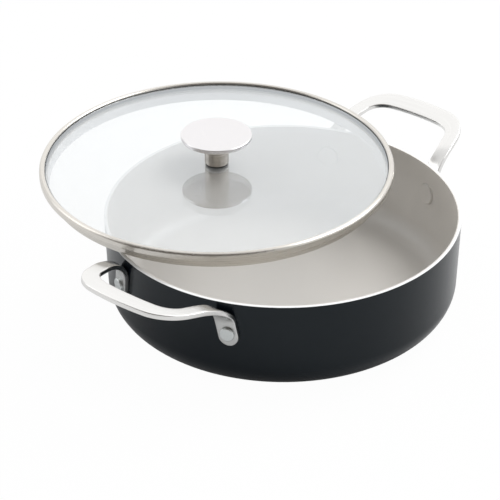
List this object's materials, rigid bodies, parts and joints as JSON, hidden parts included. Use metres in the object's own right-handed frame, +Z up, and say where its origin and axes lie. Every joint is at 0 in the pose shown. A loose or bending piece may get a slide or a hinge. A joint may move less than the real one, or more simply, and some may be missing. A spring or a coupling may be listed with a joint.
{
  "type": "braising pan",
  "caption": "Wide shallow braising pan with two bent strap handles riveted to its wall, and a flat glass lid with a steel band and disc knob, resting askew on the rim",
  "frame": {"origin": "centre of the base plate's underside, on the surface that the pan stands on", "axes": "+Z up; X runs through the two handles; the lid is pushed towards +Y"},
  "size_m": [0.4004, 0.3624, 0.1217],
  "materials": {
    "body_coating": "dark hard-anodised satin, bare at the rim",
    "ceramic": "light greige ceramic coating, satin",
    "induction_steel": "turned steel",
    "handle_steel": "brushed, eased edges",
    "rivet_metal": "satin",
    "glass": "clear, polished",
    "band_steel": "brushed along the band",
    "knob_steel": "fine brushed",
    "silicone": "dark grey, matt",
    "screw_steel": "plain"
  },
  "bodies": {
    "pan": {"pan_body": "body_coating", "ceramic_lining": "ceramic", "base_plate": "induction_steel", "left_handle": "handle_steel", "right_handle": "handle_steel", "rivet_left_front": "rivet_metal", "rivet_left_back": "rivet_metal", "rivet_right_front": "rivet_metal", "rivet_right_back": "rivet_metal"},
    "lid": {"lid_glass": "glass", "lid_band": "band_steel", "lid_seal": "silicone", "knob_cap": "knob_steel", "knob_stem": "knob_steel", "knob_gasket": "silicone", "lower_gasket": "silicone", "knob_washer": "screw_steel", "knob_screw": "screw_steel"}
  },
  "joints": [
    {"name": "lid_lift", "type": "slide", "parent": "pan", "child": "lid", "axis": [0, 0, 1], "range_m": [0, 0.15]}
  ]
}
